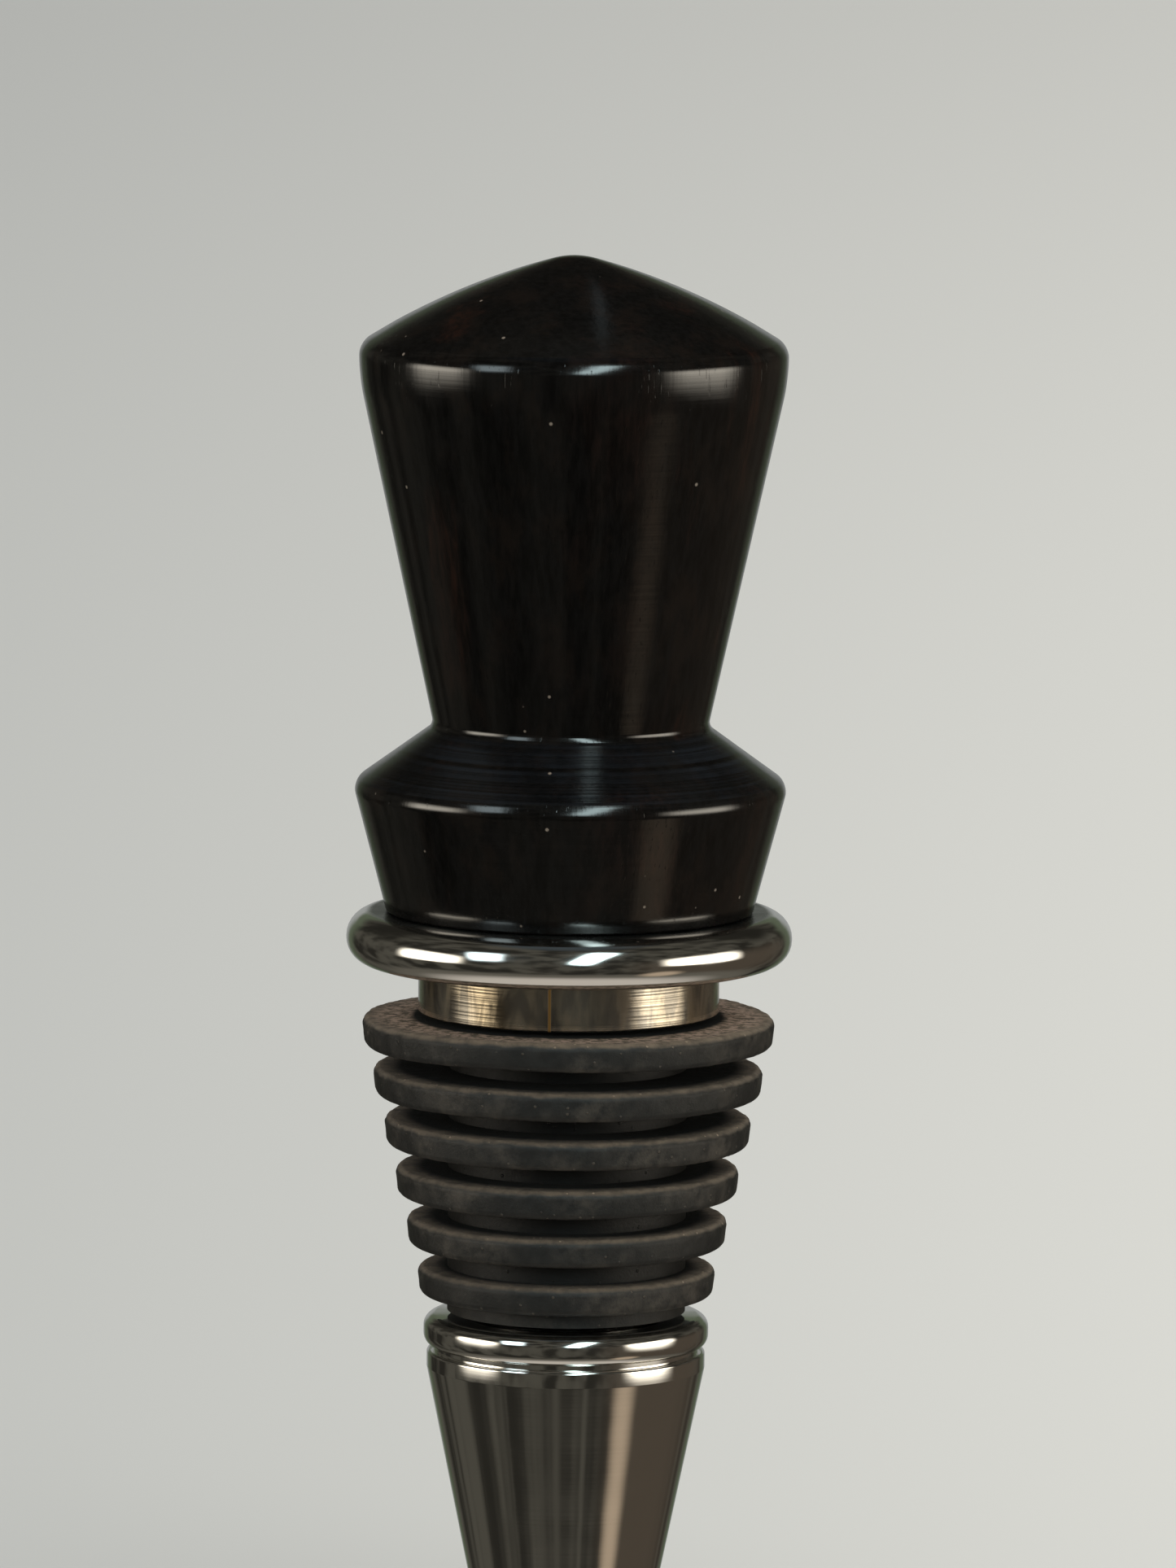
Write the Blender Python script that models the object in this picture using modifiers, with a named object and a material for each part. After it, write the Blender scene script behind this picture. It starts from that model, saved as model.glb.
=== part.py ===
"""A turned wooden bottle stopper: wooden head, chromed metal base and ribbed rubber seal.

Every piece is round about the vertical axis. Lengths are in metres, and heights run up from
the flat foot at the end of the metal taper.
"""
import math

import bpy

# Fits between pieces
SEAT_GAP = 0.0003
STUD_END_CLEARANCE = 0.0005

# Metal base: the long taper at its lower end
FOOT_DIAMETER = 0.0084
FOOT_EDGE_RADIUS = 0.0010
TAPER_HEIGHT = 0.0200
TAPER_TOP_DIAMETER = 0.0166
TAPER_EDGE_RADIUS = 0.0002

# Metal base: the land, the groove and the bead above the taper
LAND_HEIGHT = 0.0010
GROOVE_HEIGHT = 0.0003
GROOVE_DEPTH = 0.0004
BEAD_HEIGHT = 0.0018
BEAD_DIAMETER = 0.0170
BEAD_EDGE_RADIUS = 0.0007

# Metal base: the stem inside the seal
STEM_DIAMETER = 0.0110
STEM_FILLET = 0.0002

# Metal base: the neck and the flange
NECK_HEIGHT = 0.00295
NECK_DIAMETER = 0.0179
NECK_EDGE_RADIUS = 0.00015
NECK_FILLET = 0.0003
FLANGE_THICKNESS = 0.00305
FLANGE_DIAMETER = 0.0265
FLANGE_UPPER_RADIUS = 0.0012
FLANGE_EDGE_LAND = 0.0001
METAL_UNDER_STUD = 0.0012

# Rubber seal: one sleeve with flat ribs
RIB_COUNT = 6
RIB_PITCH = 0.0030
RIB_THICKNESS = 0.0017
RIB_EDGE_RADIUS = 0.0005
RIB_EDGE_LEAN = 0.0002
TOP_RIB_DIAMETER = 0.0246
RIB_DIAMETER_STEP = 0.00136
SLEEVE_WALL = 0.0013
SLEEVE_TAIL = 0.00095

# Threaded stud, its thread at full diameter
STUD_DIAMETER = 0.0095
STUD_IN_HEAD = 0.0140
STUD_CHAMFER = 0.0008

# Wooden head: the knob at its base, turned to the flange's edge less a named setback
HEAD_BASE_SETBACK = 0.00234
HEAD_BASE_EDGE_RADIUS = 0.00035
KNOB_SIDE_HEIGHT = 0.0074
KNOB_SETBACK = 0.00031
KNOB_EDGE_RADIUS = 0.0008
KNOB_SHOULDER_HEIGHT = 0.00345

# Wooden head: the waist, the long side and the pointed cap, whose rim lines up with the flange
WAIST_DIAMETER = 0.01632
WAIST_FILLET = 0.0016
LONG_SIDE_HEIGHT = 0.02075
RIM_SETBACK = 0.00055
RIM_HEIGHT = 0.0019
RIM_SIDE_RADIUS = 0.0110
RIM_EDGE_RADIUS = 0.00115
CAP_RISE = 0.00545
CAP_BOW = math.radians(9.5)
CAP_ARC_SEGMENTS = 6
TIP_RADIUS = 0.0048

# How finely round shapes are divided
TURN_STEPS = 48
ARC_STEP = math.radians(30)
MERGE_DISTANCE = 0.00001

# Heights that follow from the sizes above
taper_top = TAPER_HEIGHT
land_top = taper_top + LAND_HEIGHT
bead_bottom = land_top + GROOVE_HEIGHT
bead_top = bead_bottom + BEAD_HEIGHT
seal_bottom = bead_top + SEAT_GAP
seal_length = (RIB_COUNT - 1) * RIB_PITCH + RIB_THICKNESS + SLEEVE_TAIL
seal_top = seal_bottom + seal_length
neck_bottom = seal_top + SEAT_GAP
flange_bottom = neck_bottom + NECK_HEIGHT
flange_top = flange_bottom + FLANGE_THICKNESS
head_base = flange_top + SEAT_GAP
knob_height = head_base + KNOB_SIDE_HEIGHT
waist_height = knob_height + KNOB_SHOULDER_HEIGHT
rim_bottom = waist_height + LONG_SIDE_HEIGHT
rim_top = rim_bottom + RIM_HEIGHT
cap_point = rim_top + CAP_RISE

# Radii that follow from the flange, so that the wood and the metal line up
flange_radius = FLANGE_DIAMETER / 2
head_base_radius = flange_radius - HEAD_BASE_SETBACK
knob_radius = flange_radius - KNOB_SETBACK
rim_radius = flange_radius - RIM_SETBACK

# The stud, and the holes that it screws into
stud_bottom = neck_bottom + METAL_UNDER_STUD + STUD_END_CLEARANCE
stud_top = head_base + STUD_IN_HEAD
hole_radius = STUD_DIAMETER / 2 + SEAT_GAP
hole_floor = stud_bottom - STUD_END_CLEARANCE
hole_ceiling = stud_top + STUD_END_CLEARANCE


def round_corners(corners):
    """Outline through (radius, height, corner radius) corners, with an arc at each rounded one."""
    points = []
    for index, (radius, height, corner_radius) in enumerate(corners):
        if corner_radius == 0:
            points.append((radius, height))
            continue
        before = corners[index - 1]
        after = corners[(index + 1) % len(corners)]
        heading_in = math.atan2(height - before[1], radius - before[0])
        heading_out = math.atan2(after[1] - height, after[0] - radius)
        turn = math.remainder(heading_out - heading_in, 2 * math.pi)
        setback = corner_radius * math.tan(abs(turn) / 2)
        start_x = radius - setback * math.cos(heading_in)
        start_z = height - setback * math.sin(heading_in)
        side = math.copysign(1, turn)
        centre_x = start_x - side * corner_radius * math.sin(heading_in)
        centre_z = start_z + side * corner_radius * math.cos(heading_in)
        count = max(2, math.ceil(abs(turn) / ARC_STEP))
        for step in range(count + 1):
            heading = heading_in + turn * step / count
            points.append((centre_x + side * corner_radius * math.sin(heading),
                           centre_z - side * corner_radius * math.cos(heading)))
    return points


def cap_outline():
    """The cap, from its rounded tip out along a slightly bowed slope towards the rim."""
    lean = math.atan2(CAP_RISE, rim_radius)
    slope_at_tip = lean - CAP_BOW
    chord = math.hypot(CAP_RISE, rim_radius)
    bow_radius = chord / (2 * math.sin(CAP_BOW))
    tip_centre = cap_point - TIP_RADIUS / math.cos(slope_at_tip)
    points = []
    tip_steps = max(2, math.ceil(slope_at_tip / ARC_STEP))
    for step in range(tip_steps + 1):
        slope = slope_at_tip * step / tip_steps
        points.append((TIP_RADIUS * math.sin(slope), tip_centre + TIP_RADIUS * math.cos(slope), 0))
    tip_edge = points[-1][0]
    for step in range(1, CAP_ARC_SEGMENTS):
        slope = slope_at_tip + 2 * CAP_BOW * step / CAP_ARC_SEGMENTS
        across = bow_radius * (math.sin(slope) - math.sin(slope_at_tip))
        down = bow_radius * (math.cos(slope_at_tip) - math.cos(slope))
        if across > tip_edge:
            points.append((across, cap_point - down, 0))
    return points


def head_outline():
    """The wooden head, with the blind hole for the stud in its base."""
    return round_corners(cap_outline() + [
        (rim_radius, rim_top, RIM_EDGE_RADIUS),
        (rim_radius, rim_bottom, RIM_SIDE_RADIUS),
        (WAIST_DIAMETER / 2, waist_height, WAIST_FILLET),
        (knob_radius, knob_height, KNOB_EDGE_RADIUS),
        (head_base_radius, head_base, HEAD_BASE_EDGE_RADIUS),
        (hole_radius, head_base, 0),
        (hole_radius, hole_ceiling, 0),
        (0, hole_ceiling, 0),
    ])


def base_outline():
    """The metal base, from the hole in its flange down to the foot."""
    flange_lower_radius = FLANGE_THICKNESS - FLANGE_EDGE_LAND - FLANGE_UPPER_RADIUS
    return round_corners([
        (0, hole_floor, 0),
        (hole_radius, hole_floor, 0),
        (hole_radius, flange_top, 0),
        (flange_radius, flange_top, FLANGE_UPPER_RADIUS),
        (flange_radius, flange_bottom, flange_lower_radius),
        (NECK_DIAMETER / 2, flange_bottom, NECK_FILLET),
        (NECK_DIAMETER / 2, neck_bottom, NECK_EDGE_RADIUS),
        (STEM_DIAMETER / 2, neck_bottom, STEM_FILLET),
        (STEM_DIAMETER / 2, bead_top, STEM_FILLET),
        (BEAD_DIAMETER / 2, bead_top, BEAD_EDGE_RADIUS),
        (BEAD_DIAMETER / 2, bead_bottom, BEAD_EDGE_RADIUS),
        (TAPER_TOP_DIAMETER / 2 - GROOVE_DEPTH, bead_bottom, 0),
        (TAPER_TOP_DIAMETER / 2 - GROOVE_DEPTH, land_top, 0),
        (TAPER_TOP_DIAMETER / 2, land_top, TAPER_EDGE_RADIUS),
        (TAPER_TOP_DIAMETER / 2, taper_top, TAPER_EDGE_RADIUS),
        (FOOT_DIAMETER / 2, 0, FOOT_EDGE_RADIUS),
        (0, 0, 0),
    ])


def seal_outline():
    """The rubber sleeve: its ribs down the outer side, then its bore."""
    bore_radius = STEM_DIAMETER / 2 + SEAT_GAP
    sleeve_radius = bore_radius + SLEEVE_WALL
    corners = []
    for rib in range(RIB_COUNT):
        top = seal_top - rib * RIB_PITCH
        bottom = top - RIB_THICKNESS
        radius = (TOP_RIB_DIAMETER - rib * RIB_DIAMETER_STEP) / 2
        inner_radius = bore_radius if rib == 0 else sleeve_radius
        corners += [
            (inner_radius, top, 0),
            (radius, top, RIB_EDGE_RADIUS),
            (radius - RIB_EDGE_LEAN, bottom, RIB_EDGE_RADIUS),
            (sleeve_radius, bottom, 0),
        ]
    corners += [(sleeve_radius, seal_bottom, 0), (bore_radius, seal_bottom, 0)]
    return round_corners(corners)


def stud_outline():
    """The stud, a plain rod with chamfered ends."""
    radius = STUD_DIAMETER / 2
    return [
        (0, stud_top),
        (radius - STUD_CHAMFER, stud_top),
        (radius, stud_top - STUD_CHAMFER),
        (radius, stud_bottom + STUD_CHAMFER),
        (radius - STUD_CHAMFER, stud_bottom),
        (0, stud_bottom),
    ]


def make_material(name, colour, roughness, metallic):
    """A Principled material with the given look."""
    material = bpy.data.materials.new(name)
    material.use_nodes = True
    shader = material.node_tree.nodes["Principled BSDF"]
    shader.inputs["Base Color"].default_value = (*colour, 1)
    shader.inputs["Roughness"].default_value = roughness
    shader.inputs["Metallic"].default_value = metallic
    return material


def turn_piece(name, outline, closed, material, collection):
    """Turn an outline of (radius, height) points about the vertical axis."""
    edges = [(index, index + 1) for index in range(len(outline) - 1)]
    if closed:
        edges.append((len(outline) - 1, 0))
    mesh = bpy.data.meshes.new(name)
    mesh.from_pydata([(radius, 0, height) for radius, height in outline], edges, [])
    mesh.materials.append(material)
    piece = bpy.data.objects.new(name, mesh)
    collection.objects.link(piece)
    screw = piece.modifiers.new("Turn", "SCREW")
    screw.axis = "Z"
    screw.angle = 2 * math.pi
    screw.steps = TURN_STEPS
    screw.render_steps = TURN_STEPS
    screw.use_merge_vertices = True
    screw.merge_threshold = MERGE_DISTANCE
    screw.use_smooth_shade = True
    return piece


def clear_scene():
    """Remove what the scene already holds."""
    for thing in list(bpy.data.objects):
        bpy.data.objects.remove(thing, do_unlink=True)


def main():
    clear_scene()
    collection = bpy.data.collections.new("Wooden bottle stopper")
    bpy.context.scene.collection.children.link(collection)
    wood = make_material("Dark wood", (0.010, 0.007, 0.006), 0.25, 0)
    chrome = make_material("Chrome", (0.75, 0.74, 0.72), 0.08, 1)
    rubber = make_material("Black rubber", (0.022, 0.018, 0.016), 0.75, 0)
    steel = make_material("Stud steel", (0.50, 0.49, 0.47), 0.35, 1)
    turn_piece("wood_head", head_outline(), False, wood, collection)
    turn_piece("chrome_base", base_outline(), False, chrome, collection)
    turn_piece("rubber_seal", seal_outline(), True, rubber, collection)
    turn_piece("threaded_stud", stud_outline(), False, steel, collection)


if __name__ == "__main__":
    main()
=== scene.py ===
"""Looks of a turned wooden bottle stopper, laid out as a Blender add-on.

Each operator turns, moulds or cuts one piece and gives it its finish, and the last one sets the
stage. Lengths are in metres, and heights run up from the foot of the metal taper.
"""
import math

import bmesh
import bpy
from bpy.props import FloatProperty, FloatVectorProperty, IntProperty, PointerProperty
from mathutils import Matrix, Quaternion, Vector, noise


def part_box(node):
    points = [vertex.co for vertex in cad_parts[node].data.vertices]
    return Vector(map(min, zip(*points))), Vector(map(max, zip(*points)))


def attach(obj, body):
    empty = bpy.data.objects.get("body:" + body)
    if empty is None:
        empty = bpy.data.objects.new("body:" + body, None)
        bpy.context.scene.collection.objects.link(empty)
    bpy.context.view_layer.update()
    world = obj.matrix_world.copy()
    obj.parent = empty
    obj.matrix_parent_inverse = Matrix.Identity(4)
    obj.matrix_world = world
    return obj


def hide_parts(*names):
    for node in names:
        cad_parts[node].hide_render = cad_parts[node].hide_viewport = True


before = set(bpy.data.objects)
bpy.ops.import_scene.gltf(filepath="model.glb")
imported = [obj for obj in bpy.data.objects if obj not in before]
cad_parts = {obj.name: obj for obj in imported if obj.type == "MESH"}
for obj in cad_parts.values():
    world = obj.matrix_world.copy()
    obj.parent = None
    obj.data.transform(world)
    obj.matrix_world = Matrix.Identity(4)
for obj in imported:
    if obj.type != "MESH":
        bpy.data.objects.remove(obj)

bl_info = {
    "name": "Wooden bottle stopper",
    "version": (1, 0, 0),
    "blender": (4, 5, 0),
    "location": "3D View > Sidebar > Stopper",
    "description": "Turns the head, metal base, seal and stud of a bottle stopper",
    "category": "Add Mesh",
}

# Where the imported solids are
head_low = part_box("wood_head")[0]
base_low, base_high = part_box("chrome_base")
seal_low, seal_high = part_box("rubber_seal")
stud_low, stud_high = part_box("threaded_stud")
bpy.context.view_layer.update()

# Clearances between the pieces, as in the solids
SEAT_GAP = 0.0003
STUD_END_CLEARANCE = 0.0005

# How finely the pieces are turned and shaded
TURN_STEPS = 256
SEAL_TURN_STEPS = 416
THREAD_STEPS = 48
SECTORS = 8
ROUND_SEGMENTS = 8
BOW_SEGMENTS = 16
LONGEST_SEAL_EDGE = 0.0006
SHARP_ANGLE = math.radians(40)
MERGE_DISTANCE = 0.000002

# Where the thread's crest begins and ends, as shares of the pitch
THREAD_CREST = (0.45, 0.55)

# How closely the ribs' bends and nicks follow each other, in waves to the metre
BEND_FREQUENCY = 110
BEND_FREQUENCY_UP = 160
NICK_FREQUENCY = 1500

# How rough the nicks are: falling off, spacing and number of their finer layers
NICK_LAYERS = (0.8, 2.2, 4)

# How much of a nick goes outwards and how much goes up
NICK_OUTWARD = 0.6
NICK_UPWARD = 0.5

# Grain of the wood, in waves to the metre along each axis
STREAK_WAVES = (230, 230, 9)
FIBRE_WAVES = (2600, 2600, 70)
CLOUD_WAVES = (420, 420, 250)
PORE_WAVES = (7000, 7000, 420)

# Clouds in the painted sheen on the wood's shoulder and smudges on its polish, in waves to the metre
PAINTED_SHEEN_WAVES = 190
WOOD_SMUDGE_WAVES = 260

# Distances from the middle between which the grain's streaks are painted stronger, as side light shows them
SIDE_LIGHT_STREAK_GROWTH = (0.003, 0.009)

# How far the shoulder and its painted sheen reach below the knob's edge, and over what height they fade in
PAINTED_SHEEN_OVERLAP = 0.0001
PAINTED_SHEEN_FADE = 0.0003

# Heights above the wood's base where its dull edge ends and where it is dullest
DULL_BASE = (0.0007, 0.0003)

# Stains on the neck, in waves to the metre along each axis
MOTTLE_WAVES = (300, 300, 120)
STAIN_WAVES = (800, 800, 230)

# Smudges and soft waves of the plating, in waves to the metre
PLATING_SMUDGE_WAVES = 320
PLATING_WAVES = 160

# How far the painted golden reflection on the neck's front lies from the middle, and half its width
PAINTED_REFLECTION_ACROSS = -0.00111
PAINTED_REFLECTION_WIDTH = 0.00013

# How far down from its top the flange has painted shade by the head's base, and over what width the shade
# fades in
JOINT_SHADE_DEPTH = 0.0002
JOINT_SHADE_FADE = 0.0006

# Clouds, patches, crust and grain of the rubber and stains of the steel, in waves to the metre
RUBBER_CLOUD_WAVES = 900
RUBBER_PATCH_WAVES = 260
CRUST_WAVES = 1900
RUBBER_GRAIN_WAVES = 5200
STEEL_STAIN_WAVES = 500

# Lines that run round the axis, in waves to the metre outwards and upwards
TURNING_WAVES = (2100, 2100)
BRUSHING_WAVES = (2000, 5500)
THREAD_LINE_WAVES = (8000, 8000)

# Specks: cells to the metre, radius as a share of a cell, and share of the cells that hold one
DUST_SPECKS = (700, 0.095, 0.20)
CRUMB_SPECKS = (2600, 0.28, 0.10)

# Depths of the fine relief
TURNING_DEPTH = 0.00003
GRAIN_DEPTH = 0.000006
BRUSHING_DEPTH = 0.000008
PLATING_WAVE_DEPTH = 0.00004
RUBBER_GRAIN_DEPTH = 0.00002
RUBBER_LUMP_DEPTH = 0.00005
THREAD_LINE_DEPTH = 0.00001

# Roughness of the cleanest and the most smudged polish
WOOD_POLISH = (0.10, 0.18)
PLATING_POLISH = (0.05, 0.12)

# Where the painted shade and the crust on the rubber begin and where they are full: how far inside
# the ribs' edges, how far from the axis, or how far below the seal's top
RIB_SHADE_INSIDE = (0.0008, 0.0018)
NECK_SHADE_RADII = (0.0096, 0.0091)
NECK_SHADE_BELOW = (0.0006, 0.0004)
CRUST_RADII = (0.0122, 0.0106)
CRUST_BELOW = (0.0004, 0.0002)

# Cards of light, which only polished surfaces see
CARD_DISTANCE = 0.6
CARD_CENTRE_HEIGHT = 0.05
WARM = (1.0, 0.92, 0.78)
COOL = (0.80, 0.95, 1.0)
FRONT = (0.78, 0.98, 1.0)

# Name, azimuth, elevation, width, height, tint, strength, share of each half that is soft, and lean
CARDS = (
    ("left_warm_light", -77, 4.5, 48, 36, WARM, 5.9, (0.7, 0.9), 0),
    ("left_cool_light", -46, 24, 23, 40, COOL, 3.6, (0.6, 0.6), 12),
    ("front_light", 13, 31, 18, 60, FRONT, 9.5, (0.8, 0.5), -18),
    ("right_warm_light", 74, 2.5, 57, 36, WARM, 5.8, (0.7, 0.9), 0),
    ("high_back_light", 171, 58, 3, 30, COOL, 0.2, (0.9, 0.8), 10),
)

# Colours of the parts of the room that polished surfaces see
WARM_SIDE = (0.075, 0.06, 0.045)
LOWER_WALL = (0.12, 0.11, 0.09)
LOW_GLOW = (0.45, 0.35, 0.25)
GROUND = (0.55, 0.50, 0.44)
OVERHEAD = (0.05, 0.06, 0.066)
GREEN_BACK = (0.10, 0.12, 0.08)
PALE_BACK = (0.33, 0.34, 0.33)

# Direction of the brown glow, low to the right, and how far from it the glow begins and is full
LOW_GLOW_DIRECTION = (0.66, -0.45, -0.60)
LOW_GLOW_REACH = (0.24, 0.08)

# What the camera sees beyond the floor, and how blue the even light is
BACKDROP = (0.56, 0.57, 0.545)
EVEN_LIGHT_BLUE = 0.985

# Patches of the room, in waves across it along each axis
ROOM_WAVES = (5, 5, 3)

# Distances from the camera between which the floor's colour grows brighter, a painted light, and by how much
FLOOR_PAINTED_BRIGHTENING = (0.7, 2.3)
FLOOR_PAINTED_FAR_GAIN = 1.06

# How far to the side the floor has its left and right colours, which paint light brighter to the
# right, as a share of the distance from the camera, which counts as no less than the nearest one
FLOOR_SIDE = 0.05
FLOOR_NEAREST = 0.3

# The camera's sensor and lens in millimetres, and how far it sees in metres
SENSOR_WIDTH = 36
LENS = 280.2
CAMERA_REACH = 100


def length(name, description, default):
    """A size that the sidebar shows as a length."""
    return FloatProperty(name=name, description=description, default=default, unit="LENGTH", precision=5)


def angle(name, description, degrees):
    """An angle that the sidebar shows in degrees."""
    return FloatProperty(name=name, description=description, default=math.radians(degrees), subtype="ANGLE")


def colour(name, description, default):
    """A colour that the sidebar shows with a picker."""
    return FloatVectorProperty(name=name, description=description, default=default, size=3,
                               subtype="COLOR", min=0, max=1)


class HeadSizes(bpy.types.PropertyGroup):
    """Sizes of the wooden head, whose place and width come from the solids."""
    base_settling: length("Base settling", "How far the base sinks towards the flange", 0.00025)
    base_setback: length("Base setback", "How far the base's edge lies inside the flange's", 0.00234)
    base_rounding: length("Base rounding", "Radius of the base's edge", 0.0002)
    knob_height: length("Knob height", "Height of the knob's edge above the solid's base", 0.0074)
    knob_setback: length("Knob setback", "How far the knob's edge lies inside the flange's", 0.00031)
    knob_rounding: length("Knob rounding", "Radius of the knob's edge", 0.001)
    shoulder_height: length("Shoulder height", "Height of the waist above the knob's edge", 0.00345)
    waist_diameter: length("Waist diameter", "Diameter where the shoulder meets the side", 0.01632)
    waist_rounding: length("Waist rounding", "Radius of the hollow at the waist", 0.0006)
    side_height: length("Side height", "Height of the long side above the waist", 0.02075)
    side_rounding: length("Side rounding", "Radius of the bend below the rim", 0.011)
    rim_setback: length("Rim setback", "How far the rim lies inside the flange's edge", 0.00055)
    rim_height: length("Rim height", "Height of the upright rim", 0.0019)
    rim_rounding: length("Rim rounding", "Radius of the rim's upper edge", 0.00115)
    cap_rise: length("Cap rise", "Height of the cap's point above the rim", 0.00545)
    cap_bow: angle("Cap bow", "How far the cap's slope bows outwards", 9.5)
    tip_radius: length("Tip radius", "Radius of the rounded tip", 0.0048)


class BaseSizes(bpy.types.PropertyGroup):
    """Sizes of the metal base, whose foot, flange and top come from the solids."""
    foot_diameter: length("Foot diameter", "Diameter of the taper's end", 0.0084)
    foot_rounding: length("Foot rounding", "Radius of the taper's lower edge", 0.001)
    taper_height: length("Taper height", "Length of the taper", 0.02)
    taper_diameter: length("Taper diameter", "Diameter of the taper's upper end", 0.0166)
    taper_rounding: length("Taper rounding", "Radius of the edges of the land", 0.0002)
    land_height: length("Land height", "Height of the land above the taper", 0.001)
    groove_height: length("Groove height", "Height of the groove below the bead", 0.0003)
    groove_depth: length("Groove depth", "Depth of the groove below the bead", 0.0004)
    bead_height: length("Bead height", "Height of the bead", 0.0018)
    bead_diameter: length("Bead diameter", "Diameter of the bead", 0.017)
    bead_rounding: length("Bead rounding", "Radius of the bead's edges", 0.0007)
    stem_diameter: length("Stem diameter", "Diameter of the stem inside the seal", 0.011)
    stem_fillet: length("Stem fillet", "Radius at both ends of the stem", 0.0002)
    neck_diameter: length("Neck diameter", "Diameter of the neck under the flange", 0.0179)
    neck_rounding: length("Neck rounding", "Radius of the neck's lower edge", 0.00015)
    neck_fillet: length("Neck fillet", "Radius where the neck meets the flange", 0.0003)
    flange_thickness: length("Flange thickness", "Thickness of the flange", 0.00305)
    flange_rounding: length("Flange rounding", "Radius of the flange's upper edge", 0.0015)
    flange_land: length("Flange land", "Height of the flange's upright edge", 0.0001)
    # Painted shade: the flange's top is darkened next to the head's base, inside this setback from its edge
    joint_shade_setback: length("Grime setback", "How far the grime on the flange lies inside its edge", 0.0010)


class SealSizes(bpy.types.PropertyGroup):
    """Sizes of the rubber seal, whose top and bottom come from the solid."""
    rib_count: IntProperty(name="Ribs", description="How many ribs the seal has", default=6, min=1)
    rib_diameter: length("Rib diameter", "Diameter of the top rib", 0.0246)
    rib_pitch: length("Rib pitch", "Distance from one rib to the next", 0.0030)
    rib_thickness: length("Rib thickness", "Thickness of a rib", 0.0017)
    rib_rounding: length("Rib rounding", "Radius of a rib's edges", 0.00045)
    rib_lean: length("Rib lean", "How much a rib's radius shrinks towards its lower edge", 0.0002)
    rib_step: length("Rib step", "How much smaller in diameter each rib is than the one above", 0.00136)
    sleeve_wall: length("Sleeve wall", "Thickness of the sleeve between the ribs", 0.0013)
    warp: length("Warp", "How far the ribs' edges bend up and down", 0.00016)
    roughness: length("Roughness", "Depth of the nicks in the ribs' edges", 0.00007)


class StudSizes(bpy.types.PropertyGroup):
    """Sizes of the stud's thread, whose length and diameter come from the solid."""
    thread_pitch: length("Thread pitch", "Distance from one turn of the thread to the next", 0.0015875)
    thread_depth: length("Thread depth", "Depth of the thread", 0.00097)
    chamfer: length("Chamfer", "Height of the cone at each end", 0.0009)


class Finishes(bpy.types.PropertyGroup):
    """Colours of the finishes."""
    wood: colour("Wood", "Dark heartwood", (0.0031, 0.0029, 0.0028))
    brown: colour("Brown", "Brown clouds in the wood", (0.0090, 0.0062, 0.0048))
    streak: colour("Streak", "Red-brown streaks in the wood", (0.017, 0.0070, 0.0045))
    # Painted sheen: bluish reflected light, painted in rings on the knob's shoulder
    painted_sheen: colour("Sheen", "Bluish rings on the knob's shoulder", (0.0125, 0.0155, 0.0195))
    specks: colour("Specks", "Specks of dust on the wood", (0.24, 0.20, 0.16))
    chrome: colour("Chrome", "Plated metal", (0.80, 0.79, 0.76))
    tarnish: colour("Tarnish", "Brown film on the neck", (0.38, 0.31, 0.21))
    # Painted reflection: a golden line painted down the neck's front
    painted_golden_reflection: colour("Golden line", "The golden line down the neck's front", (0.30, 0.17, 0.05))
    rubber: colour("Rubber", "Clean rubber", (0.012, 0.0115, 0.0098))
    dust: colour("Dust", "Dust that lies on the rubber", (0.215, 0.170, 0.120))
    crumbs: colour("Crumbs", "Pale crumbs on the rubber, round the neck", (0.54, 0.40, 0.31))
    steel: colour("Steel", "The stud", (0.52, 0.51, 0.49))


class StageSettings(bpy.types.PropertyGroup):
    """Camera, floor and light."""
    camera_distance: length("Camera distance", "From the camera to the middle of the view", 0.7245)
    camera_elevation: angle("Camera elevation", "Height above the horizon", 7.3)
    camera_roll: angle("Camera roll", "Turn about the line of sight", 0.5)
    aim_across: length("Aim across", "How far the view's middle lies to the right of the axis", 0.00104)
    aim_height: length("Aim height", "Height of the view's middle", 0.05497)
    floor_radius: length("Floor radius", "Radius of the round floor", 6.0)
    # Painted light: the floor's colour is darker to the left and brighter to the right
    floor_left: colour("Floor, left", "The floor towards the left", (0.604, 0.612, 0.592))
    floor_right: colour("Floor, right", "The floor towards the right", (0.768, 0.768, 0.732))
    sky_light: FloatProperty(name="Sky light", description="Strength of the even light", default=0.62)
    room: colour("Room", "What polished surfaces see of the room", (0.045, 0.042, 0.034))


# Outlines and turning

def corner(radius, height, rounding=0.0):
    """One corner of an outline, sharp or rounded to the given radius."""
    return radius, height, rounding


def arc(bm, start, centre, turn, segments):
    """Carry the outline on from its open end by an arc about a centre, and return its new end."""
    result = bmesh.ops.spin(bm, geom=[start], cent=(centre[0], 0, centre[1]), axis=(0, 1, 0),
                            angle=turn, steps=segments)
    return [item for item in result["geom_last"] if isinstance(item, bmesh.types.BMVert)][0]


def draw_outline(bm, corners, closed=False):
    """Draw an outline through the corners, then round each with a vertex bevel."""
    verts = [bm.verts.new((radius, 0, height)) for radius, height, _ in corners]
    for first, second in zip(verts, verts[1:]):
        bm.edges.new((first, second))
    if closed:
        bm.edges.new((verts[-1], verts[0]))
    setbacks = []
    for index, (_, _, rounding) in enumerate(corners):
        before = verts[index].co - verts[index - 1].co
        after = verts[(index + 1) % len(verts)].co - verts[index].co
        bend = before.angle(after) if rounding else 0
        setbacks.append(rounding * math.tan(bend / 2))
    for vert, setback in zip(verts, setbacks):
        if setback > 0:
            bmesh.ops.bevel(bm, geom=[vert], offset=setback, offset_type="OFFSET",
                            segments=ROUND_SEGMENTS, profile=0.5, affect="VERTICES", material=-1)
    return verts


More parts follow.
